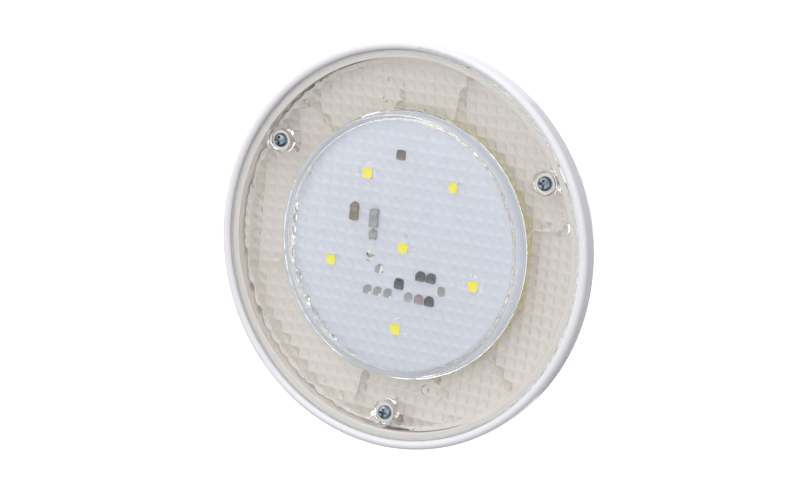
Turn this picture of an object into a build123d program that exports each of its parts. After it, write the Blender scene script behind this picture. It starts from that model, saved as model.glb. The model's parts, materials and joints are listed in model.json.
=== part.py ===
from build123d import *

import os
from math import cos, hypot, radians, sin

# Underwater wall light for a pool: a shallow white bowl, closed by a clear screwed-on lens, with an LED board in a
# tray behind it. It has no cord: magnets hold it on the pool wall, and a coil behind the board picks up its power.
#
# Sizes are in millimetres. Every piece is built lying on its back: heights are measured from the wall face, X points
# to the light's right and Y to its top. place_on_wall() then stands it up, with its front towards -Y and its top
# towards +Z, so that the wall face is the plane Y = 0 and the origin is that face's centre.

# Whole light
OUTER_RADIUS = 88.2
DEPTH = 38.0
RIM_WIDTH = 4.0
RIM_ROUNDING = 1.95
EDGE_GAP = 0.2  # between the lens and the rim

# Housing
WALL = 2.8
BACK_HEIGHT = 0.5
BACK_CORNER_RADIUS = 76.2
BACK_ROUNDING = 16.0
TAPER_TOP = 30.0  # height where the straight side starts to taper towards the back
TAPER_ROUNDING = 1.5
SEAT_RADIUS = 81.0  # inner edge of the ledge that carries the lens
FLOOR = 4.0
FLOOR_ROUNDING = 13.0

# Wall pad
PAD_RADIUS = 62.0
PAD_THICKNESS = 1.2

# Lens
LENS_THICKNESS = 2.5
LENS_EDGE_TOP = DEPTH - 1.0
LENS_SLOPE = 0.21  # drop of the ring, for each millimetre towards the centre
WINDOW_RADIUS = 56.7
WINDOW_FOOT_RADIUS = 57.5
WINDOW_WALL = 2.3
WINDOW_ROUNDING = 0.6
FOOT_ROUNDING = 0.3
GATE_MARK_ANGLE = 15
GATE_MARK_CIRCLE = 77.6
GATE_MARK_RADIUS = 3.1
GATE_MARK_BOTTOM = 33.2

# Lens fasteners
SCREW_ANGLES = (30, 150, 270)
SCREW_CIRCLE = 73.8
SCREW_HEAD_RADIUS = 3.1
SCREW_HEAD_HEIGHT = 2.3
SCREW_TOP = 35.2
SCREW_SHANK_RADIUS = 1.6
SCREW_LENGTH = 12.0
SCREW_HOLE_CLEARANCE = 0.05
WASHER_RADIUS = 4.4
WASHER_THICKNESS = 0.8
POCKET_RADIUS = 4.7
POCKET_MOUTH_RADIUS = 5.9
PILLAR_RADIUS = 4.6
PILLAR_SHOULDER_RADIUS = 6.5
PILLAR_TOP = 29.9

# Board and tray
BOARD_RADIUS = 58.3
BOARD_THICKNESS = 1.6
BOARD_TOP = 29.0
GASKET_OUTER = 58.8
GASKET_INNER = 55.2
GASKET_THICKNESS = 3.0
TRAY_BOTTOM = 20.9
TRAY_THICKNESS = 1.6
TRAY_RADIUS = 80.5
TRAY_TOP = 29.5
RIB_ANGLES = range(15, 375, 60)
RIB_INNER = 59.5
RIB_OUTER = 76.0
RIB_THICKNESS = 1.2
RIB_HEIGHT = 4.5
PEG_ANGLES = (105, 285)
PEG_CIRCLE = 65.0
PEG_RADIUS = 3.0
PEG_COLLAR_RADIUS = 6.0

# LEDs: one in the middle and five on a circle; the pattern sits a little below the board's centre
LED_DROP = 0.9
LED_CIRCLE = 36.2
LED_ANGLES = range(54, 414, 72)
LED_SIZE = 4.2
LED_HEIGHT = 1.0
LED_WINDOW = 3.8
LED_WINDOW_DEPTH = 0.3
LED_SOLDER_DISTANCE = 4.7
LED_SOLDER_SPACING = 1.2
LED_SOLDER_RADIUS = 0.35
LED_SOLDER_HEIGHT = 0.15

# Chip resistors
RESISTOR_PLACES = ((-16.0, -22.5), (-11.0, -22.5), (-5.8, -22.5), (4.5, -22.5), (-11.4, -12.5), (20.0, -17.2))
RESISTOR_SIZE = (3.2, 2.5, 0.7)
RESISTOR_CAP = 0.5

# Coil stack, from the housing floor up
FORMER_RADIUS = 45.0
FORMER_HUB_RADIUS = 22.0
FORMER_SHEET = 1.0
SPIGOT_RADIUS = 8.0
COIL_INNER = 24.2
COIL_OUTER = 43.8
COIL_BOTTOM = 5.1
COIL_TOP = 8.7
FERRITE_INNER = 20.5
FERRITE_OUTER = 44.5
FERRITE_BOTTOM = 10.3
FERRITE_THICKNESS = 2.0

# Leads from the coil to the board
LEAD_X = -16.5
LEAD_YS = (-6.5, -9.0)
LEAD_START_X = -30.0
LEAD_RADIUS = 0.45
LEAD_BEND = 3.0
LEAD_HOLE = 0.55
SOLDER_RADIUS = 1.3

# Holding magnets
MAGNET_ANGLES = range(15, 375, 60)
MAGNET_CIRCLE = 56.5
MAGNET_RADIUS = 9.0
MAGNET_THICKNESS = 5.0
MAGNET_POCKET_CLEARANCE = 0.2
MAGNET_POCKET_WALL = 1.4
MAGNET_CAP_THICKNESS = 1.15

# Worked-out heights and radii
RIM_INNER = OUTER_RADIUS - RIM_WIDTH
LENS_RADIUS = RIM_INNER - EDGE_GAP
SEAT = LENS_EDGE_TOP - LENS_THICKNESS
TAPER = (OUTER_RADIUS - BACK_CORNER_RADIUS) / (TAPER_TOP - BACK_HEIGHT)  # radius lost for each millimetre of height
BOARD_BOTTOM = BOARD_TOP - BOARD_THICKNESS
TRAY_FLOOR = TRAY_BOTTOM + TRAY_THICKNESS
GASKET_BOTTOM = BOARD_BOTTOM - GASKET_THICKNESS
SCREW_SEAT = SCREW_TOP - SCREW_HEAD_HEIGHT
POCKET_FLOOR = SCREW_SEAT - WASHER_THICKNESS
SCREW_TIP = SCREW_SEAT - SCREW_LENGTH
SEAL_GROOVE = (81.9, 83.5, 1.2)  # inner radius, outer radius, depth
SEAL_CLEARANCE = 0.05


def turned(*corners):
    """A solid of revolution; a corner of its outline is (radius, height) or (radius, height, rounding)."""
    outline = Polyline(*[(corner[0], 0, corner[1]) for corner in corners], close=True)
    face = Face(Wire(outline.edges()))
    for corner in corners:
        if len(corner) == 3:
            vertex = face.vertices().sort_by_distance((corner[0], 0, corner[1]))[0]
            face = face.fillet_2d(corner[2], [vertex])
    return revolve(face, Axis.Z, 360)


def cylinder(radius, bottom, top):
    return Pos(0, 0, bottom) * Cylinder(radius, top - bottom, align=(Align.CENTER, Align.CENTER, Align.MIN))


def tube(inner, outer, bottom, top):
    return cylinder(outer, bottom, top) - cylinder(inner, bottom, top)


def at_angle(angle, circle):
    """The place on a circle about the light's axis, counter-clockwise from its right as seen from the front."""
    return Pos(circle * cos(radians(angle)), circle * sin(radians(angle)), 0)


def copies(shape, angles, circle):
    return [at_angle(angle, circle) * shape for angle in angles]


def chip(length, width, height, rounding=0.2):
    """A board component's body, standing on the board, with its upright edges rounded."""
    body = Pos(0, 0, BOARD_TOP) * Box(length, width, height, align=(Align.CENTER, Align.CENTER, Align.MIN))
    return fillet(body.edges().filter_by(Axis.Z), rounding)


def end_caps(length, width, height, cap):
    """The two metal ends of a component, clasping the ends of a body of the same width and height."""
    end = Pos(0, 0, BOARD_TOP) * Box(cap, width, height, align=(Align.CENTER, Align.CENTER, Align.MIN))
    offset = (length - cap) / 2
    return [Pos(-offset, 0, 0) * end, Pos(offset, 0, 0) * end]


def rear_housing():
    inner_taper = WALL * hypot(1, TAPER)  # the wall's thickness measured level, across the taper
    inner_bend = TAPER_TOP - (OUTER_RADIUS - inner_taper - SEAT_RADIUS) / TAPER
    inner_corner = SEAT_RADIUS - (inner_bend - FLOOR) * TAPER
    groove_inner, groove_outer, groove_depth = SEAL_GROOVE
    bowl = turned(
        (0, PAD_THICKNESS),
        (PAD_RADIUS + EDGE_GAP, PAD_THICKNESS),
        (PAD_RADIUS + EDGE_GAP, BACK_HEIGHT),
        (BACK_CORNER_RADIUS, BACK_HEIGHT, BACK_ROUNDING),
        (OUTER_RADIUS, TAPER_TOP, TAPER_ROUNDING),
        (OUTER_RADIUS, DEPTH, RIM_ROUNDING),
        (RIM_INNER, DEPTH, RIM_ROUNDING),
        (RIM_INNER, SEAT),
        (groove_outer, SEAT),
        (groove_outer, SEAT - groove_depth),
        (groove_inner, SEAT - groove_depth),
        (groove_inner, SEAT),
        (SEAT_RADIUS, SEAT),
        (SEAT_RADIUS, inner_bend),
        (inner_corner, FLOOR, FLOOR_ROUNDING),
        (0, FLOOR),
    )
    inside_skin = turned(
        (0, BACK_HEIGHT + 1),
        (BACK_CORNER_RADIUS - 1, BACK_HEIGHT + 1, BACK_ROUNDING),
        (OUTER_RADIUS - 1, TAPER_TOP),
        (OUTER_RADIUS - 1, DEPTH),
        (0, DEPTH),
    )
    pillar = cylinder(PILLAR_RADIUS, FLOOR - 1, PILLAR_TOP)
    shoulder = cylinder(PILLAR_SHOULDER_RADIUS, FLOOR - 1, TRAY_BOTTOM)
    screw_hole = cylinder(SCREW_SHANK_RADIUS + SCREW_HOLE_CLEARANCE, SCREW_TIP - 2, PILLAR_TOP)
    peg = cylinder(PEG_RADIUS, FLOOR - 1, TRAY_FLOOR + 1.5)
    spigot = cylinder(SPIGOT_RADIUS, FLOOR - 1, FLOOR + 3)
    pocket_inner = MAGNET_RADIUS + MAGNET_POCKET_CLEARANCE
    pocket_top = FLOOR + MAGNET_THICKNESS + MAGNET_CAP_THICKNESS
    pocket = tube(pocket_inner, pocket_inner + MAGNET_POCKET_WALL, FLOOR - 1, pocket_top)
    bowl += [column & inside_skin for column in copies(pillar + shoulder, SCREW_ANGLES, SCREW_CIRCLE)]
    bowl -= copies(screw_hole, SCREW_ANGLES, SCREW_CIRCLE)
    bowl += copies(peg, PEG_ANGLES, PEG_CIRCLE)
    bowl += copies(pocket, MAGNET_ANGLES, MAGNET_CIRCLE)
    return bowl + spigot


def wall_pad():
    return turned((0, 0), (PAD_RADIUS, 0, 0.3), (PAD_RADIUS, PAD_THICKNESS), (0, PAD_THICKNESS))


def ring_height(radius):
    """Height of the outer face of the lens's sloping ring."""
    return LENS_EDGE_TOP - LENS_SLOPE * (SEAT_RADIUS - radius)


def front_lens():
    inside = DEPTH - LENS_THICKNESS
    cavity_radius = WINDOW_RADIUS - WINDOW_WALL
    foot_outer = WINDOW_FOOT_RADIUS + 0.7
    lens = turned(
        (0, DEPTH),
        (WINDOW_RADIUS, DEPTH, WINDOW_ROUNDING),
        (WINDOW_FOOT_RADIUS, ring_height(WINDOW_FOOT_RADIUS), FOOT_ROUNDING),
        (SEAT_RADIUS, LENS_EDGE_TOP),
        (LENS_RADIUS, LENS_EDGE_TOP, 0.4),
        (LENS_RADIUS, SEAT),
        (SEAT_RADIUS - 0.4, SEAT),
        (foot_outer, ring_height(foot_outer) - LENS_THICKNESS),
        (foot_outer, BOARD_TOP),
        (cavity_radius + 0.8, BOARD_TOP),
        (cavity_radius, inside, 0.6),
        (0, inside),
    )
    ring_middle = ring_height(SCREW_CIRCLE) - LENS_THICKNESS / 2
    boss = cylinder(POCKET_MOUTH_RADIUS, PILLAR_TOP, ring_middle)
    pocket = cylinder(POCKET_RADIUS, POCKET_FLOOR, DEPTH)
    mouth_height = POCKET_MOUTH_RADIUS - POCKET_RADIUS
    mouth = turned(
        (0, ring_middle),
        (POCKET_RADIUS, ring_middle),
        (POCKET_MOUTH_RADIUS, ring_middle + mouth_height),
        (POCKET_MOUTH_RADIUS, DEPTH),
        (0, DEPTH),
    )
    shank_hole = cylinder(SCREW_SHANK_RADIUS + 0.3, PILLAR_TOP, DEPTH)
    gate_mark = cylinder(GATE_MARK_RADIUS, GATE_MARK_BOTTOM, ring_height(GATE_MARK_CIRCLE) - LENS_THICKNESS / 2)
    lens += copies(boss, SCREW_ANGLES, SCREW_CIRCLE)
    lens -= copies(pocket + mouth + shank_hole, SCREW_ANGLES, SCREW_CIRCLE)
    return lens + at_angle(GATE_MARK_ANGLE, GATE_MARK_CIRCLE) * gate_mark


def lens_seal():
    inner, outer, depth = SEAL_GROOVE
    return tube(inner + SEAL_CLEARANCE, outer - SEAL_CLEARANCE, SEAT - depth, SEAT)


def lens_screw():
    point_length = 1.8
    recess_width = 1.0
    recess_length = 3.8
    recess_depth = 1.5
    screw = turned(
        (0, SCREW_TOP),
        (SCREW_HEAD_RADIUS, SCREW_TOP, 1.4),
        (SCREW_HEAD_RADIUS, SCREW_SEAT),
        (SCREW_SHANK_RADIUS, SCREW_SEAT),
        (SCREW_SHANK_RADIUS, SCREW_TIP + point_length),
        (0.2, SCREW_TIP),
        (0, SCREW_TIP),
    )
    slot = Pos(0, 0, SCREW_TOP) * Box(recess_length, recess_width, 2 * recess_depth)
    return screw - slot - Rot(0, 0, 90) * slot


def screw_washer():
    return tube(SCREW_SHANK_RADIUS + 0.2, WASHER_RADIUS, POCKET_FLOOR, SCREW_SEAT)


def component_tray():
    tray = turned(
        (0, TRAY_BOTTOM),
        (TRAY_RADIUS, TRAY_BOTTOM),
        (TRAY_RADIUS, TRAY_TOP),
        (TRAY_RADIUS - 1.5, TRAY_TOP),
        (TRAY_RADIUS - 1.5, TRAY_FLOOR),
        (58.2, TRAY_FLOOR),
        (58.2, GASKET_BOTTOM),
        (54.8, GASKET_BOTTOM),
        (54.8, TRAY_FLOOR),
        (0, TRAY_FLOOR),
    )
    below = TRAY_BOTTOM - 1
    above = TRAY_TOP + 1
    foot = TRAY_FLOOR - 0.5
    pillar_gap = 0.3
    screw_hole = cylinder(PILLAR_RADIUS + pillar_gap, below, above)
    peg_collar = cylinder(PEG_COLLAR_RADIUS, foot, TRAY_FLOOR + 2)
    peg_hole = cylinder(PEG_RADIUS + 0.2, below, above)
    lead_hole = Pos(LEAD_X, sum(LEAD_YS) / 2, 0) * cylinder(3, below, above)
    rib = Box(RIB_OUTER - RIB_INNER, RIB_THICKNESS, RIB_HEIGHT, align=(Align.MIN, Align.CENTER, Align.MIN))
    tray -= copies(screw_hole, SCREW_ANGLES, SCREW_CIRCLE)
    tray += [Rot(0, 0, angle) * Pos(RIB_INNER, 0, foot) * rib for angle in RIB_ANGLES]
    tray += copies(peg_collar, PEG_ANGLES, PEG_CIRCLE)
    tray -= copies(peg_hole, PEG_ANGLES, PEG_CIRCLE)
    return tray - lead_hole


def board_gasket():
    rounding = 0.4
    return turned(
        (GASKET_INNER, GASKET_BOTTOM, rounding),
        (GASKET_OUTER, GASKET_BOTTOM, rounding),
        (GASKET_OUTER, BOARD_BOTTOM, rounding),
        (GASKET_INNER, BOARD_BOTTOM, rounding),
    )


def led_board():
    board = cylinder(BOARD_RADIUS, BOARD_BOTTOM, BOARD_TOP)
    for y in LEAD_YS:
        board -= Pos(LEAD_X, y, 0) * cylinder(LEAD_HOLE, BOARD_BOTTOM, BOARD_TOP)
    return board


def at_leds(shape):
    lowered = Pos(0, -LED_DROP, 0) * shape
    return [lowered] + copies(lowered, LED_ANGLES, LED_CIRCLE)


def led_package():
    window_floor = BOARD_TOP + LED_HEIGHT - LED_WINDOW_DEPTH
    recess = Pos(0, 0, window_floor) * Box(
        LED_WINDOW, LED_WINDOW, 1, align=(Align.CENTER, Align.CENTER, Align.MIN)
    )
    return chip(LED_SIZE, LED_SIZE, LED_HEIGHT) - recess


def led_window():
    window_floor = BOARD_TOP + LED_HEIGHT - LED_WINDOW_DEPTH
    return Pos(0, 0, window_floor) * Box(
        LED_WINDOW, LED_WINDOW, LED_WINDOW_DEPTH, align=(Align.CENTER, Align.CENTER, Align.MIN)
    )


def led_solder():
    """Two soldered heat vias on each of the four sides of every LED."""
    bead = cylinder(LED_SOLDER_RADIUS, BOARD_TOP, BOARD_TOP + LED_SOLDER_HEIGHT)
    beads = []
    for side in range(0, 360, 90):
        for offset in (-LED_SOLDER_SPACING / 2, LED_SOLDER_SPACING / 2):
            beads.append(Rot(0, 0, side) * Pos(LED_SOLDER_DISTANCE, offset, 0) * bead)
    return [placed for one_bead in beads for placed in at_leds(one_bead)]


def driver_ic():
    """The current controller: a black body with three legs on each side."""
    body_lift = 0.1
    body = Pos(-0.5, -17.5, body_lift) * chip(3.6, 3.0, 1.4)
    leg = Pos(0, 0, BOARD_TOP) * Box(0.5, 5.0, 0.3, align=(Align.CENTER, Align.CENTER, Align.MIN))
    for offset in (-1.2, 0, 1.2):
        body += Pos(-0.5 + offset, -17.5, 0) * leg
    return body


def rectifier_diodes():
    diode = chip(3.4, 2.8, 2.2)
    return [Pos(9.5, -12.4, 0) * diode, Pos(14.5, -12.4, 0) * diode, Pos(15.0, -22.5, 0) * diode]


def input_capacitor():
    return Pos(-25.3, 10.8, 0) * chip(2.8, 6.4, 2.4)


def power_inductor():
    return Pos(-15.3, 9.4, 0) * chip(3.4, 8.0, 2.6, 0.6)


def damping_capacitor():
    return Pos(-15.3, 1.6, 0) * chip(2.4, 4.0, 1.6)


def resistor_bodies():
    length, width, height = RESISTOR_SIZE
    body = chip(length - 2 * RESISTOR_CAP, width, height, 0.1)
    return [Pos(x, y, 0) * body for x, y in RESISTOR_PLACES]


def resistor_ends():
    ends = end_caps(*RESISTOR_SIZE, RESISTOR_CAP)
    return [Pos(x, y, 0) * end for x, y in RESISTOR_PLACES for end in ends]


def chip_fuse():
    return Pos(9.8, -22.5, 0) * chip(3.2, 2.6, 1.2)


def temperature_sensor():
    return Pos(-5.0, 38.6, 0) * chip(3.0, 3.4, 1.6)


def lead_wires():
    wires = []
    for y in LEAD_YS:
        lead_height = COIL_TOP + LEAD_RADIUS
        start = (LEAD_START_X, y, lead_height)
        corner = (LEAD_X, y, lead_height)
        end = (LEAD_X, y, BOARD_TOP + 0.4)
        route = FilletPolyline(start, corner, end, radius=LEAD_BEND)
        section = Plane(origin=start, z_dir=(1, 0, 0)) * Circle(LEAD_RADIUS)
        wires.append(sweep(section, path=route))
    return wires


def lead_solder():
    hole = LEAD_RADIUS + 0.02
    fillet_of_solder = turned((hole, BOARD_TOP), (SOLDER_RADIUS, BOARD_TOP), (hole, BOARD_TOP + 0.7))
    return [Pos(LEAD_X, y, 0) * fillet_of_solder for y in LEAD_YS]


def coil_former():
    floor_top = FLOOR + FORMER_SHEET
    sheet = tube(SPIGOT_RADIUS + 0.1, FORMER_RADIUS, FLOOR, floor_top)
    hub = tube(FORMER_HUB_RADIUS, FORMER_HUB_RADIUS + 2, floor_top - 0.5, COIL_TOP - 0.1)
    lip = tube(FORMER_RADIUS - 1, FORMER_RADIUS, floor_top - 0.5, FERRITE_BOTTOM)
    return sheet + hub + lip


def receiver_coil():
    rounding = 0.8
    return turned(
        (COIL_INNER, COIL_BOTTOM, rounding),
        (COIL_OUTER, COIL_BOTTOM, rounding),
        (COIL_OUTER, COIL_TOP, rounding),
        (COIL_INNER, COIL_TOP, rounding),
    )


def ferrite_ring():
    return tube(FERRITE_INNER, FERRITE_OUTER, FERRITE_BOTTOM, FERRITE_BOTTOM + FERRITE_THICKNESS)


def magnets():
    return copies(cylinder(MAGNET_RADIUS, FLOOR, FLOOR + MAGNET_THICKNESS), MAGNET_ANGLES, MAGNET_CIRCLE)


def magnet_caps():
    bottom = FLOOR + MAGNET_THICKNESS
    radius = MAGNET_RADIUS + MAGNET_POCKET_CLEARANCE - 0.02
    cap = cylinder(radius, bottom, bottom + MAGNET_CAP_THICKNESS)
    return copies(cap, MAGNET_ANGLES, MAGNET_CIRCLE)


NODES = {
    "rear_housing": rear_housing(),
    "wall_pad": wall_pad(),
    "front_lens": front_lens(),
    "lens_seal": lens_seal(),
    "lens_screws": copies(lens_screw(), SCREW_ANGLES, SCREW_CIRCLE),
    "screw_washers": copies(screw_washer(), SCREW_ANGLES, SCREW_CIRCLE),
    "component_tray": component_tray(),
    "board_gasket": board_gasket(),
    "led_board": led_board(),
    "led_packages": at_leds(led_package()),
    "led_windows": at_leds(led_window()),
    "led_solder": led_solder(),
    "driver_ic": driver_ic(),
    "rectifier_diodes": rectifier_diodes(),
    "input_capacitor": input_capacitor(),
    "power_inductor": power_inductor(),
    "damping_capacitor": damping_capacitor(),
    "resistor_bodies": resistor_bodies(),
    "resistor_ends": resistor_ends(),
    "chip_fuse": chip_fuse(),
    "temperature_sensor": temperature_sensor(),
    "lead_wires": lead_wires(),
    "lead_solder": lead_solder(),
    "coil_former": coil_former(),
    "receiver_coil": receiver_coil(),
    "ferrite_ring": ferrite_ring(),
    "magnets": magnets(),
    "magnet_caps": magnet_caps(),
}


def place_on_wall(shape):
    """Stand a piece up on the wall, or each of a group of separate pieces."""
    if isinstance(shape, list):
        return Compound([solid for piece in shape for solid in (Rot(90, 0, 0) * piece).solids()])
    return Rot(90, 0, 0) * shape


os.makedirs("parts", exist_ok=True)
for name, shape in NODES.items():
    export_step(place_on_wall(shape), f"parts/{name}.step")
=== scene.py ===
import json
from math import cos, pi, radians, sin

import bpy
import numpy as np
from mathutils import Matrix, Vector
from mathutils.geometry import delaunay_2d_cdt


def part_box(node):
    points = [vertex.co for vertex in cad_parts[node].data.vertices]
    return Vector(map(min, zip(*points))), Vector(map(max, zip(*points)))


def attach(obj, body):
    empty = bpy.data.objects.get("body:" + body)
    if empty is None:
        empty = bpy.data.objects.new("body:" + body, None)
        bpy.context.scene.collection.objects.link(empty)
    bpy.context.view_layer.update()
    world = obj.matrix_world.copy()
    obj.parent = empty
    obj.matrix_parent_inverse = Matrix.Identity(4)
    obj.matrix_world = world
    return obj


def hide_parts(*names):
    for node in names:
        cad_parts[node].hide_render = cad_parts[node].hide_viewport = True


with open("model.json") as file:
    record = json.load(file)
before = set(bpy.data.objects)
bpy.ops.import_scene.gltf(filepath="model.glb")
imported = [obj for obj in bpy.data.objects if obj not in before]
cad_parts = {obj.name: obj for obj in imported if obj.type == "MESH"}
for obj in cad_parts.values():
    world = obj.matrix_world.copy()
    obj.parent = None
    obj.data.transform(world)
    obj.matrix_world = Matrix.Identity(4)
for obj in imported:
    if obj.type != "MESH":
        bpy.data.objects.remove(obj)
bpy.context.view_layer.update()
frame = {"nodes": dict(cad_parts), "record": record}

MM = 0.001
BODY = "root"
PILLAR_ABOVE_BOARD = 0.9

# The light faces -Y. Heights are measured from its wall face, so a height h is the plane Y = -h.
DEPTH = -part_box("front_lens")[0].y / MM
LENS_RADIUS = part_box("front_lens")[1].x / MM
BOARD_TOP = -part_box("led_board")[0].y / MM
BOARD_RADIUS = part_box("led_board")[1].x / MM
PILLAR_TOP = -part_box("front_lens")[1].y / MM + PILLAR_ABOVE_BOARD

# The section of the CAD lens, in millimetres. A small gap keeps the visual lens out of the planes of the
# pieces that it rests on.
GAP = 0.08
THICKNESS = 2.5
EDGE_TOP = DEPTH - 1.0
EDGE_ROUNDING = 0.4
SLOPE = 0.21  # drop of the ring, for each millimetre towards the centre
FLANGE_RADIUS = 81.0
FLANGE_SEAT_RADIUS = FLANGE_RADIUS - 0.4
WINDOW_RADIUS = 56.7
WINDOW_ROUNDING = 0.6
WINDOW_FOOT_RADIUS = 57.5
WINDOW_FOOT_ROUNDING = 0.3
WINDOW_FOOT_LIFT = 0.06  # raises the rounding, so that it ends on the sloping ring
BASE_OUTER = 58.2  # the base stands on the board
BASE_INNER = 55.2
CAVITY_RADIUS = 54.45
CAVITY_CHAMFER = 0.2

# Screw pockets and the moulding gate's mark
SCREW_CIRCLE = 73.8
SCREW_ANGLES = (30, 150, 270)
POCKET_RADIUS = 4.7
POCKET_MOUTH_RADIUS = 5.9
POCKET_MOUTH_DEPTH = 1.2
POCKET_FLOOR = 32.1
SHANK_HOLE = 1.9
GATE_MARK_ANGLE = 15
GATE_MARK_CIRCLE = 77.0
GATE_MARK_RADIUS = 3.1
GATE_MARK_BOTTOM = 33.2
GATE_MARK_RISE = 0.3
GATE_MARK_CHAMFER = 0.25

# The pillow prisms on the lens's inner face
PITCH = 5.0
GRID_SHIFT_Z = 1.85
WINDOW_PILLOW = 0.35
RING_PILLOW = 0.48
PILLOW_FULLNESS = 1.2
PILLOW_FADE = 2.4
PILLOW_WIDTH = 4.9
TEXTURE_INNER = 58.6
TEXTURE_OUTER = 80.2
WINDOW_TEXTURE_RADIUS = 54.2

# Fineness of the lens's mesh
CIRCLE_STEPS = 360
HOLE_STEPS = 48
ROUNDING_STEPS = 8
FOOT_STEPS = 5
EDGE_STEPS = 4
PILLOW_STEPS = 10
FACE_RADII = range(6, 54, 6)
FACE_STEPS = 36
RING_RADII = np.arange(60.5, 79.5, 2.6)
RING_STEPS = 180
RING_MARGIN = 0.8
PILLOW_MARGIN = 0.35


def at_angle(angle, circle):
    return circle * cos(radians(angle)), circle * sin(radians(angle))


AXIS = (0, 0)
GATE_CENTRE = at_angle(GATE_MARK_ANGLE, GATE_MARK_CIRCLE)
POCKET_CENTRES = [at_angle(angle, SCREW_CIRCLE) for angle in SCREW_ANGLES]

# Round areas (x, z, radius) of the ring that have no pillows
BLOCKED = [(x, z, POCKET_MOUTH_RADIUS) for x, z in POCKET_CENTRES] + [(*GATE_CENTRE, GATE_MARK_RADIUS)]


# ---------------------------------------------------------------- lens mesh


class Surface:
    """Gathers the places (x, z, height), in millimetres, and the faces of one closed mesh.

    A loop lists the numbers of its vertices, counter-clockwise as seen from the front.
    """

    def __init__(self):
        self.places = []
        self.faces = []

    def add_places(self, places):
        first = len(self.places)
        self.places.extend(places)
        return list(range(first, first + len(places)))

    def add_circle(self, radius, height, centre=AXIS, count=CIRCLE_STEPS):
        """A loop around a circle; its height is a number, or a function of the place."""
        places = []
        for i in range(count):
            x = centre[0] + radius * cos(2 * pi * i / count)
            z = centre[1] + radius * sin(2 * pi * i / count)
            places.append((x, z, height(x, z) if callable(height) else height))
        return self.add_places(places)

    def join_loops(self, lower, upper):
        """A band of quads between two loops of as many vertices."""
        count = len(lower)
        for i in range(count):
            j = (i + 1) % count
            self.faces.append((lower[i], lower[j], upper[j], upper[i]))

    def circle_of(self, loop):
        """Centre and radius of a round loop."""
        places = [self.places[i] for i in loop]
        centre_x = sum(place[0] for place in places) / len(places)
        centre_z = sum(place[1] for place in places) / len(places)
        return centre_x, centre_z, np.hypot(places[0][0] - centre_x, places[0][1] - centre_z)

    def patch(self, loops, inner_points, height, facing_up):
        """Fills a round loop, less the round loops that follow it, with triangles through given points."""
        vertices = [i for loop in loops for i in loop]
        flat = [Vector(self.places[i][:2]) for i in vertices]
        edges = []
        start = 0
        for loop in loops:
            count = len(loop)
            edges.extend((start + i, start + (i + 1) % count) for i in range(count))
            start += count
        flat.extend(Vector(point) for point in inner_points)
        vertices.extend(self.add_places([(x, z, height(x, z)) for x, z in inner_points]))
        points, _, triangles, origins, _, _ = delaunay_2d_cdt(flat, edges, [], 1, 1e-6, True)
        corners = [vertices[origin[0]] for origin in origins]
        circles = [self.circle_of(loop) for loop in loops]
        for a, b, c in triangles:
            if is_inside((points[a] + points[b] + points[c]) / 3, circles):
                face = (corners[a], corners[b], corners[c])
                self.faces.append(face if facing_up else face[::-1])

    def to_object(self, name, sharp_angle=50):
        mesh = bpy.data.meshes.new(name)
        vertices = [(x * MM, -height * MM, z * MM) for x, z, height in self.places]
        mesh.from_pydata(vertices, [], self.faces)
        mesh.validate()
        mesh.shade_smooth()
        mesh.set_sharp_from_angle(angle=radians(sharp_angle))
        piece = bpy.data.objects.new(name, mesh)
        bpy.context.scene.collection.objects.link(piece)
        return piece


def is_inside(point, circles):
    """Whether a point is inside the first circle and outside all the others."""
    for number, (centre_x, centre_z, radius) in enumerate(circles):
        distance = np.hypot(point.x - centre_x, point.y - centre_z)
        if (distance > radius) == (number == 0):
            return False
    return True


def clear_of(points, holes, margin):
    """The points that keep a margin from round holes (x, z, radius)."""
    return [
        (x, z)
        for x, z in points
        if all(np.hypot(x - hole[0], z - hole[1]) > hole[2] + margin for hole in holes)
    ]


def spread_points(radii, count):
    """Points on circles about the axis, each circle turned against the one before."""
    return [at_angle(i * 360 / count + radius, radius) for radius in radii for i in range(count)]


def arc_corner(centre, radius, start, end, steps):
    """Points (radius, height) along a rounded corner of the section, from one angle to another."""
    points = []
    for i in range(steps + 1):
        angle = radians(start + (end - start) * i / steps)
        points.append((centre[0] + radius * cos(angle), centre[1] + radius * sin(angle)))
    return points


def ring_top(x, z):
    return EDGE_TOP - SLOPE * (FLANGE_RADIUS - np.hypot(x, z))


def ring_underside(x, z):
    return ring_top(x, z) - THICKNESS


def gate_mark_top(x, z):
    return ring_top(x, z) + GATE_MARK_RISE


def pillow(x, z, height):
    """How far a pillow of some height stands out of the lens's inner face at a point."""
    across = (x % PITCH - PITCH / 2) / (PILLOW_WIDTH / 2)
    along = ((z - GRID_SHIFT_Z) % PITCH - PITCH / 2) / (PILLOW_WIDTH / 2)
    from_centre = min(1.0, (across**4 + along**4) ** 0.25)
    return height * (1 - from_centre**2) ** PILLOW_FULLNESS


def fade(distance):
    """Flattens the pillows towards the edge of their area, from a distance to that edge."""
    return min(1.0, max(0.0, distance / PILLOW_FADE))


def pillowed_window(x, z):
    to_edge = WINDOW_TEXTURE_RADIUS - np.hypot(x, z)
    return DEPTH - THICKNESS - pillow(x, z, WINDOW_PILLOW) * fade(to_edge)


def pillowed_ring(x, z):
    to_holes = [np.hypot(x - hole[0], z - hole[1]) - hole[2] for hole in BLOCKED]
    to_edge = min([TEXTURE_OUTER - np.hypot(x, z)] + to_holes)
    return ring_underside(x, z) - pillow(x, z, RING_PILLOW) * fade(to_edge)


def pillow_points(inner, outer):
    """Points of the pillows' grid between two radii, clear of both; an inner radius of 0 is no limit."""
    reach = int(outer / PITCH) + 2
    steps = [step * PITCH / PILLOW_STEPS for step in range(-reach * PILLOW_STEPS, reach * PILLOW_STEPS)]
    grid = [(x, z + GRID_SHIFT_Z) for x in steps for z in steps]
    within = [(x, z) for x, z in grid if np.hypot(x, z) < outer - PILLOW_MARGIN]
    if inner == 0:
        return within
    return [(x, z) for x, z in within if np.hypot(x, z) > inner + PILLOW_MARGIN]


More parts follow.
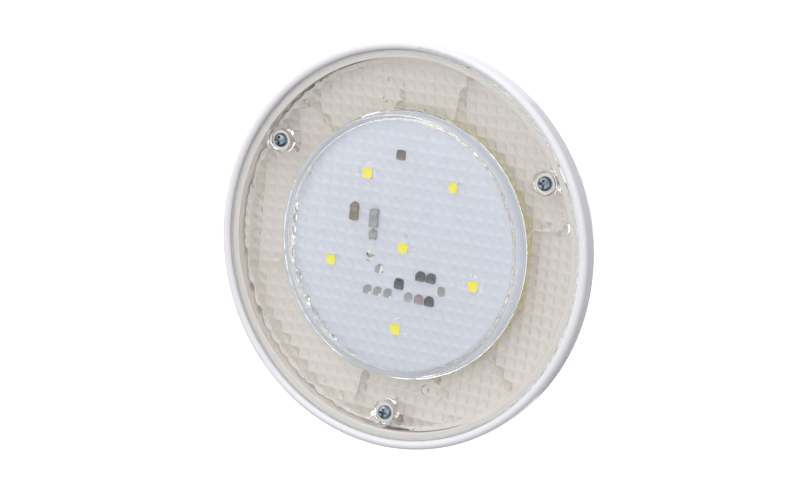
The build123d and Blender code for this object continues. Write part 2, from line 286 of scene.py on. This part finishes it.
def add_window_front(surface):
    """The window's flat face, its rounded edge and its wall down to the ring; returns the foot's loop."""
    edge_centre = (WINDOW_RADIUS - WINDOW_ROUNDING, DEPTH - WINDOW_ROUNDING)
    foot_height = ring_top(WINDOW_FOOT_RADIUS, 0) + WINDOW_FOOT_ROUNDING + WINDOW_FOOT_LIFT
    foot_centre = (WINDOW_FOOT_RADIUS + WINDOW_FOOT_ROUNDING, foot_height)
    profile = arc_corner(edge_centre, WINDOW_ROUNDING, 90, 2, ROUNDING_STEPS)
    profile += arc_corner(foot_centre, WINDOW_FOOT_ROUNDING, 185, 282, FOOT_STEPS)
    loops = [surface.add_circle(radius, height) for radius, height in profile]
    face_points = spread_points(FACE_RADII, FACE_STEPS) + [AXIS]
    surface.patch([loops[0]], face_points, lambda x, z: DEPTH, True)
    for outer, inner in zip(loops[1:], loops):
        surface.join_loops(outer, inner)
    return loops[-1]


def add_ring_front(surface, window_foot):
    """The ring's sloping front with its gate mark; returns its edge's loop and the screw pockets' mouths."""
    edge = surface.add_circle(FLANGE_RADIUS, EDGE_TOP)
    mouths = [
        surface.add_circle(POCKET_MOUTH_RADIUS, ring_top, centre, HOLE_STEPS) for centre in POCKET_CENTRES
    ]
    mark_foot = surface.add_circle(GATE_MARK_RADIUS, ring_top, GATE_CENTRE, HOLE_STEPS)
    mark_radius = GATE_MARK_RADIUS - GATE_MARK_CHAMFER
    mark_rim = surface.add_circle(mark_radius, gate_mark_top, GATE_CENTRE, HOLE_STEPS)
    surface.join_loops(mark_foot, mark_rim)
    surface.patch([mark_rim], [GATE_CENTRE], gate_mark_top, True)
    points = clear_of(spread_points(RING_RADII, RING_STEPS), BLOCKED, RING_MARGIN)
    surface.patch([edge, window_foot, mark_foot] + mouths, points, ring_top, True)
    return edge, mouths


def add_flange(surface, front_edge):
    """The flange around the lens, from the ring's front to its back; returns the pillows' outer loop."""
    corner_centre = (LENS_RADIUS - EDGE_ROUNDING, EDGE_TOP - EDGE_ROUNDING)
    profile = arc_corner(corner_centre, EDGE_ROUNDING, 90, 0, EDGE_STEPS)
    profile += [
        (LENS_RADIUS, EDGE_TOP - THICKNESS + GAP),
        (FLANGE_SEAT_RADIUS, EDGE_TOP - THICKNESS + GAP),
        (TEXTURE_OUTER, ring_underside(TEXTURE_OUTER, 0)),
    ]
    previous = front_edge
    for radius, height in profile:
        loop = surface.add_circle(radius, height)
        surface.join_loops(loop, previous)
        previous = loop
    return previous


def add_screw_pocket(surface, centre, mouth):
    """From the mouth to the floor, through the shank hole and out over the boss; returns the boss's root."""
    profile = [
        (POCKET_RADIUS, ring_top(*centre) - POCKET_MOUTH_DEPTH),
        (POCKET_RADIUS, POCKET_FLOOR - GAP),
        (SHANK_HOLE, POCKET_FLOOR - GAP),
        (SHANK_HOLE, PILLAR_TOP + GAP),
        (POCKET_MOUTH_RADIUS, PILLAR_TOP + GAP),
        (POCKET_MOUTH_RADIUS, ring_underside),
    ]
    previous = mouth
    for radius, height in profile:
        loop = surface.add_circle(radius, height, centre, HOLE_STEPS)
        surface.join_loops(previous, loop)
        previous = loop
    return previous


def add_gate_peg(surface):
    """The gate mark's short peg under the ring; returns the loop of its root."""
    root = surface.add_circle(GATE_MARK_RADIUS, ring_underside, GATE_CENTRE, HOLE_STEPS)
    end = surface.add_circle(GATE_MARK_RADIUS, GATE_MARK_BOTTOM, GATE_CENTRE, HOLE_STEPS)
    surface.join_loops(end, root)
    surface.patch([end], [GATE_CENTRE], lambda x, z: GATE_MARK_BOTTOM, False)
    return root


def add_ring_underside(surface, outer_edge, holes):
    """The ring's pillowed underside; returns the loop at its inner edge."""
    inner_edge = surface.add_circle(TEXTURE_INNER, ring_underside(TEXTURE_INNER, 0))
    points = clear_of(pillow_points(TEXTURE_INNER, TEXTURE_OUTER), BLOCKED, PILLOW_MARGIN)
    surface.patch([outer_edge, inner_edge] + holes, points, pillowed_ring, False)
    return inner_edge


def add_cavity(surface, ring_inner_edge):
    """The base that stands on the board, the cavity's wall and the window's pillowed inner face."""
    inside = DEPTH - THICKNESS
    profile = [
        (BASE_OUTER, BOARD_TOP + GAP),
        (BASE_INNER, BOARD_TOP + GAP),
        (CAVITY_RADIUS, inside - CAVITY_CHAMFER),
        (WINDOW_TEXTURE_RADIUS, inside),
    ]
    previous = ring_inner_edge
    for radius, height in profile:
        loop = surface.add_circle(radius, height)
        surface.join_loops(loop, previous)
        previous = loop
    surface.patch([previous], pillow_points(0, WINDOW_TEXTURE_RADIUS), pillowed_window, False)


def build_lens():
    """The clear lens: smooth in front, with pillow prisms behind, and three screw pockets."""
    surface = Surface()
    window_foot = add_window_front(surface)
    front_edge, mouths = add_ring_front(surface, window_foot)
    back_edge = add_flange(surface, front_edge)
    holes = [add_screw_pocket(surface, centre, mouth) for centre, mouth in zip(POCKET_CENTRES, mouths)]
    holes.append(add_gate_peg(surface))
    ring_inner_edge = add_ring_underside(surface, back_edge, holes)
    add_cavity(surface, ring_inner_edge)
    return surface.to_object("lens_moulding")


# ---------------------------------------------------------------- materials


def shader_of(material):
    return material.node_tree.nodes["Principled BSDF"]


def new_material(name, colour, roughness, **sockets):
    """A material with its shader's plain numbers set; _ stands for a space in a socket's name."""
    material = bpy.data.materials.new(name)
    material.use_nodes = True
    shader = shader_of(material)
    shader.inputs["Base Color"].default_value = (*colour, 1)
    shader.inputs["Roughness"].default_value = roughness
    shader.inputs["Emission Color"].default_value = (*colour, 1)
    for socket, value in sockets.items():
        shader.inputs[socket.replace("_", " ")].default_value = value
    return material


def node(material, kind, **settings):
    made = material.node_tree.nodes.new(kind)
    for key, value in settings.items():
        setattr(made, key, value)
    return made


def link(material, output, target):
    material.node_tree.links.new(output, target)


def place_of(material):
    return node(material, "ShaderNodeTexCoord").outputs["Object"]


def noise(material, scale, detail=4.0):
    made = node(material, "ShaderNodeTexNoise")
    made.inputs["Scale"].default_value = scale
    made.inputs["Detail"].default_value = detail
    link(material, place_of(material), made.inputs["Vector"])
    return made.outputs["Fac"]


def mapped(material, value, low, high):
    """Stretches a noise value, mostly between 0.3 and 0.7, to run between two numbers."""
    made = node(material, "ShaderNodeMapRange")
    made.inputs["From Min"].default_value = 0.3
    made.inputs["From Max"].default_value = 0.7
    made.inputs["To Min"].default_value = low
    made.inputs["To Max"].default_value = high
    link(material, value, made.inputs["Value"])
    return made.outputs["Result"]


def vary_colour(material, first, second, value):
    mix = node(material, "ShaderNodeMix", data_type="RGBA")
    mix.inputs["A"].default_value = (*first, 1)
    mix.inputs["B"].default_value = (*second, 1)
    link(material, mapped(material, value, 0, 1), mix.inputs["Factor"])
    link(material, mix.outputs["Result"], shader_of(material).inputs["Base Color"])


def vary_roughness(material, low, high, value):
    link(material, mapped(material, value, low, high), shader_of(material).inputs["Roughness"])


def add_bump(material, value, strength, distance):
    bump = node(material, "ShaderNodeBump")
    bump.inputs["Strength"].default_value = strength
    bump.inputs["Distance"].default_value = distance
    link(material, value, bump.inputs["Height"])
    link(material, bump.outputs["Normal"], shader_of(material).inputs["Normal"])


def moulded(name, first, second, rough, grain=900, strength=0.15, patches=35, **sockets):
    """Solid material: soft patches of two colours, uneven gloss and a fine surface grain."""
    gloss_patches = 120
    grain_depth = 0.00005
    material = new_material(name, first, rough[0], **sockets)
    vary_colour(material, first, second, noise(material, patches))
    vary_roughness(material, rough[0], rough[1], noise(material, gloss_patches))
    add_bump(material, noise(material, grain), strength, grain_depth)
    return material


def clear_plastic():
    """Clear polycarbonate with faint waviness left by the mould."""
    waves = 60
    wave_depth = 0.0002
    material = new_material("clear_lens", (0.975, 0.98, 0.975), 0.015, IOR=1.56, Transmission_Weight=1.0)
    add_bump(material, noise(material, waves), 0.04, wave_depth)
    return material


def radius_and_y(material):
    """Distance from the light's axis, and the place along it, in metres."""
    split = node(material, "ShaderNodeSeparateXYZ")
    link(material, place_of(material), split.inputs["Vector"])
    flat = node(material, "ShaderNodeCombineXYZ")
    link(material, split.outputs["X"], flat.inputs["X"])
    link(material, split.outputs["Z"], flat.inputs["Y"])
    length = node(material, "ShaderNodeVectorMath", operation="LENGTH")
    link(material, flat.outputs["Vector"], length.inputs[0])
    return length.outputs["Value"], split.outputs["Y"]


def compare(material, operation, value, limit):
    test = node(material, "ShaderNodeMath", operation=operation)
    test.inputs[1].default_value = limit
    link(material, value, test.inputs[0])
    return test.outputs["Value"]


def both(material, first, second):
    product = node(material, "ShaderNodeMath", operation="MULTIPLY")
    link(material, first, product.inputs[0])
    link(material, second, product.inputs[1])
    return product.outputs["Value"]


def recolour(material, colour, factor):
    """Another colour where a factor is one."""
    base_colour = shader_of(material).inputs["Base Color"]
    mix = node(material, "ShaderNodeMix", data_type="RGBA")
    link(material, base_colour.links[0].from_socket, mix.inputs["A"])
    mix.inputs["B"].default_value = (*colour, 1)
    link(material, factor, mix.inputs["Factor"])
    link(material, mix.outputs["Result"], base_colour)


def printed_board():
    """White solder mask on both faces, and bare yellowish glass fibre around the edge."""
    skin = 0.0001
    material = moulded("board_white", (0.87, 0.9, 1.0), (0.84, 0.875, 0.98), (0.25, 0.35))
    radius, _ = radius_and_y(material)
    at_edge = compare(material, "GREATER_THAN", radius, BOARD_RADIUS * MM - skin)
    recolour(material, (0.88, 0.8, 0.44), at_edge)
    return material


def housing_shell():
    """White plastic; the upper part of the bowl's inside, which shows through the lens, gets a brighter,
    warmer copy of it as painted light.
    """
    visible_from = 20.0
    rim_clearance = 0.1
    material = moulded("white_shell", (0.62, 0.61, 0.63), (0.6, 0.59, 0.615), (0.12, 0.2), 500, 0.05)
    radius, y = radius_and_y(material)
    within_rim = compare(material, "LESS_THAN", radius, (LENS_RADIUS - rim_clearance) * MM)
    in_front = compare(material, "LESS_THAN", y, -visible_from * MM)
    # Painted light: the bowl's inside within the rim gets a brighter, warmer colour than the outside,
    # standing in for light that barely reaches it behind the lens
    recolour(material, (0.97, 0.88, 0.83), both(material, within_rim, in_front))
    return material


# The plain finishes: two colours, the lowest and highest roughness, then any further settings
FINISHES = {
    "cream_tray": dict(first=(0.97, 0.91, 0.86), second=(0.95, 0.89, 0.84), rough=(0.4, 0.55)),
    "seal_rubber": dict(first=(0.9, 0.88, 0.83), second=(0.86, 0.83, 0.78), rough=(0.4, 0.5)),
    "amber_gasket": dict(first=(0.93, 0.85, 0.5), second=(0.89, 0.8, 0.42), rough=(0.3, 0.45)),
    "pad_rubber": dict(
        first=(0.07, 0.075, 0.08), second=(0.1, 0.105, 0.11), rough=(0.75, 0.9), grain=1500, strength=0.5
    ),
    "led_body": dict(first=(0.85, 0.85, 0.82), second=(0.8, 0.8, 0.77), rough=(0.3, 0.4)),
    # Painted light: the phosphor glows faintly (emission 0.2) to look brighter, though the LED is not lit
    "led_phosphor": dict(
        first=(1.0, 0.9, 0.02), second=(1.0, 0.84, 0.01), rough=(0.35, 0.5), Emission_Strength=0.2
    ),
    "black_epoxy": dict(first=(0.015, 0.015, 0.022), second=(0.03, 0.03, 0.035), rough=(0.4, 0.55)),
    "tan_ceramic": dict(first=(0.24, 0.19, 0.1), second=(0.3, 0.24, 0.14), rough=(0.4, 0.5)),
    "grey_ceramic": dict(first=(0.36, 0.37, 0.38), second=(0.44, 0.44, 0.44), rough=(0.4, 0.5)),
    "pink_ceramic": dict(first=(0.33, 0.24, 0.27), second=(0.4, 0.29, 0.32), rough=(0.4, 0.5)),
    "brown_ceramic": dict(first=(0.16, 0.12, 0.1), second=(0.22, 0.16, 0.13), rough=(0.4, 0.5)),
    "black_wire": dict(first=(0.02, 0.02, 0.02), second=(0.04, 0.04, 0.04), rough=(0.4, 0.5)),
    "former_plastic": dict(first=(0.03, 0.03, 0.035), second=(0.05, 0.05, 0.055), rough=(0.4, 0.5)),
    "ferrite": dict(
        first=(0.03, 0.03, 0.035), second=(0.06, 0.06, 0.06), rough=(0.6, 0.75), grain=1500, strength=0.4
    ),
    "steel": dict(
        first=(0.05, 0.08, 0.11),
        second=(0.36, 0.42, 0.47),
        rough=(0.15, 0.3),
        strength=0.1,
        patches=450,
        Metallic=1.0,
    ),
    "tin": dict(first=(0.75, 0.75, 0.74), second=(0.65, 0.65, 0.64), rough=(0.25, 0.4), Metallic=1.0),
    "copper": dict(first=(0.72, 0.32, 0.14), second=(0.6, 0.24, 0.1), rough=(0.25, 0.4), Metallic=1.0),
    "magnet_plate": dict(first=(0.7, 0.69, 0.66), second=(0.62, 0.61, 0.58), rough=(0.1, 0.2), Metallic=1.0),
}

MATERIALS = {name: moulded(name, **finish) for name, finish in FINISHES.items()}
MATERIALS["white_shell"] = housing_shell()
MATERIALS["board_white"] = printed_board()
MATERIALS["clear_lens"] = clear_plastic()


def dress_cad_nodes():
    """Gives every CAD node its finish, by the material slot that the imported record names."""
    for subpart in frame["record"]["subparts"]:
        mesh = frame["nodes"][subpart["node"]].data
        mesh.materials.clear()
        mesh.materials.append(MATERIALS[subpart["material_slot"]])


# ---------------------------------------------------------------- studio


def set_up_rendering():
    """Plain colours, and light that can pass through the lens as often as the pillows need."""
    bounces = 24
    bpy.context.scene.view_settings.view_transform = "Standard"
    bpy.context.scene.cycles.max_bounces = bounces
    bpy.context.scene.cycles.glossy_bounces = bounces
    bpy.context.scene.cycles.transmission_bounces = bounces


def add_sheet(name, corners, grey):
    """A flat matt sheet that belongs to the studio and not to the light."""
    mesh = bpy.data.meshes.new(name)
    mesh.from_pydata(corners, [], [(0, 1, 2, 3)])
    mesh.materials.append(new_material(name + "_paint", (grey, grey, grey), 0.9))
    sheet = bpy.data.objects.new(name, mesh)
    bpy.context.scene.collection.objects.link(sheet)


def level_corners(half, height, y=0.0):
    """Corners of a level square about a place on the Y axis, from half its side."""
    return [
        (-half, y - half, height),
        (half, y - half, height),
        (half, y + half, height),
        (-half, y + half, height),
    ]


def add_area_light(name, place, size, power):
    """A square lamp that is turned towards the origin."""
    light = bpy.data.lights.new(name, "AREA")
    light.shape = "SQUARE"
    light.size = size
    light.energy = power
    lamp = bpy.data.objects.new(name, light)
    bpy.context.scene.collection.objects.link(lamp)
    lamp.location = place
    lamp.rotation_euler = (-Vector(place)).to_track_quat("-Z", "Y").to_euler()


def add_side_card(offset, nearest, length, height, grey):
    """A grey card beside the view, parallel to it, that keeps the side wall from being lit from there."""
    turn = bpy.context.scene.camera.matrix_world.to_quaternion()
    right = turn @ Vector((1, 0, 0))
    away = turn @ Vector((0, 0, -1))
    up = right.cross(away)
    near = right * offset + away * nearest
    far = near + away * length
    rise = up * height / 2
    add_sheet("side_card", [near - rise, far - rise, far + rise, near + rise], grey)


def add_world(colour, strength):
    world = bpy.data.worlds.new("studio")
    world.use_nodes = True
    background = world.node_tree.nodes["Background"]
    background.inputs["Color"].default_value = (*colour, 1)
    background.inputs["Strength"].default_value = strength
    bpy.context.scene.world = world


def add_camera(azimuth, elevation, roll, distance, aim, lens):
    """Looks at a point near the middle of the light's front, from a place given by angles and a distance.

    Azimuth runs from straight ahead towards the light's right.
    """
    front = Vector((0, -DEPTH * MM, 0))
    away = Vector((
        cos(radians(elevation)) * sin(radians(azimuth)),
        -cos(radians(elevation)) * cos(radians(azimuth)),
        sin(radians(elevation)),
    ))
    place = front + away * distance
    backward = (place - front - Vector(aim)).normalized()
    right = Vector((0, 0, 1)).cross(backward).normalized()
    up = backward.cross(right)
    turned_right = right * cos(radians(roll)) + up * sin(radians(roll))
    turned_up = up * cos(radians(roll)) - right * sin(radians(roll))
    camera = bpy.data.objects.new("camera", bpy.data.cameras.new("camera"))
    bpy.context.scene.collection.objects.link(camera)
    camera.matrix_world = Matrix((
        (turned_right.x, turned_up.x, backward.x, place.x),
        (turned_right.y, turned_up.y, backward.y, place.y),
        (turned_right.z, turned_up.z, backward.z, place.z),
        (0, 0, 0, 1),
    ))
    camera.data.lens = lens
    camera.data.sensor_width = 36
    camera.data.clip_start = 0.01
    bpy.context.scene.camera = camera


def add_studio():
    add_sheet("floor", level_corners(half=60.0, height=-3.0), grey=0.98)
    add_world(colour=(0.97, 0.98, 1.0), strength=1.3)
    add_area_light("key", place=(-0.9, -1.6, 1.3), size=2.4, power=18)
    add_area_light("top", place=(0.1, -0.3, 1.8), size=2.4, power=5)
    add_camera(azimuth=27.34, elevation=10.1, roll=5.47, distance=0.9, aim=(0.002, 0, 0.0015), lens=94.77)
    add_side_card(offset=0.62, nearest=-0.35, length=2.4, height=1.4, grey=0.28)
    # Below the view, where it keeps the light's lower side from being lit
    add_sheet("low_card", level_corners(half=0.5, height=-0.45, y=-0.15), grey=0.2)


# ---------------------------------------------------------------- assembly

dress_cad_nodes()
lens = build_lens()
lens.data.materials.append(MATERIALS["clear_lens"])
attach(lens, BODY)
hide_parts("front_lens")
set_up_rendering()
add_studio()
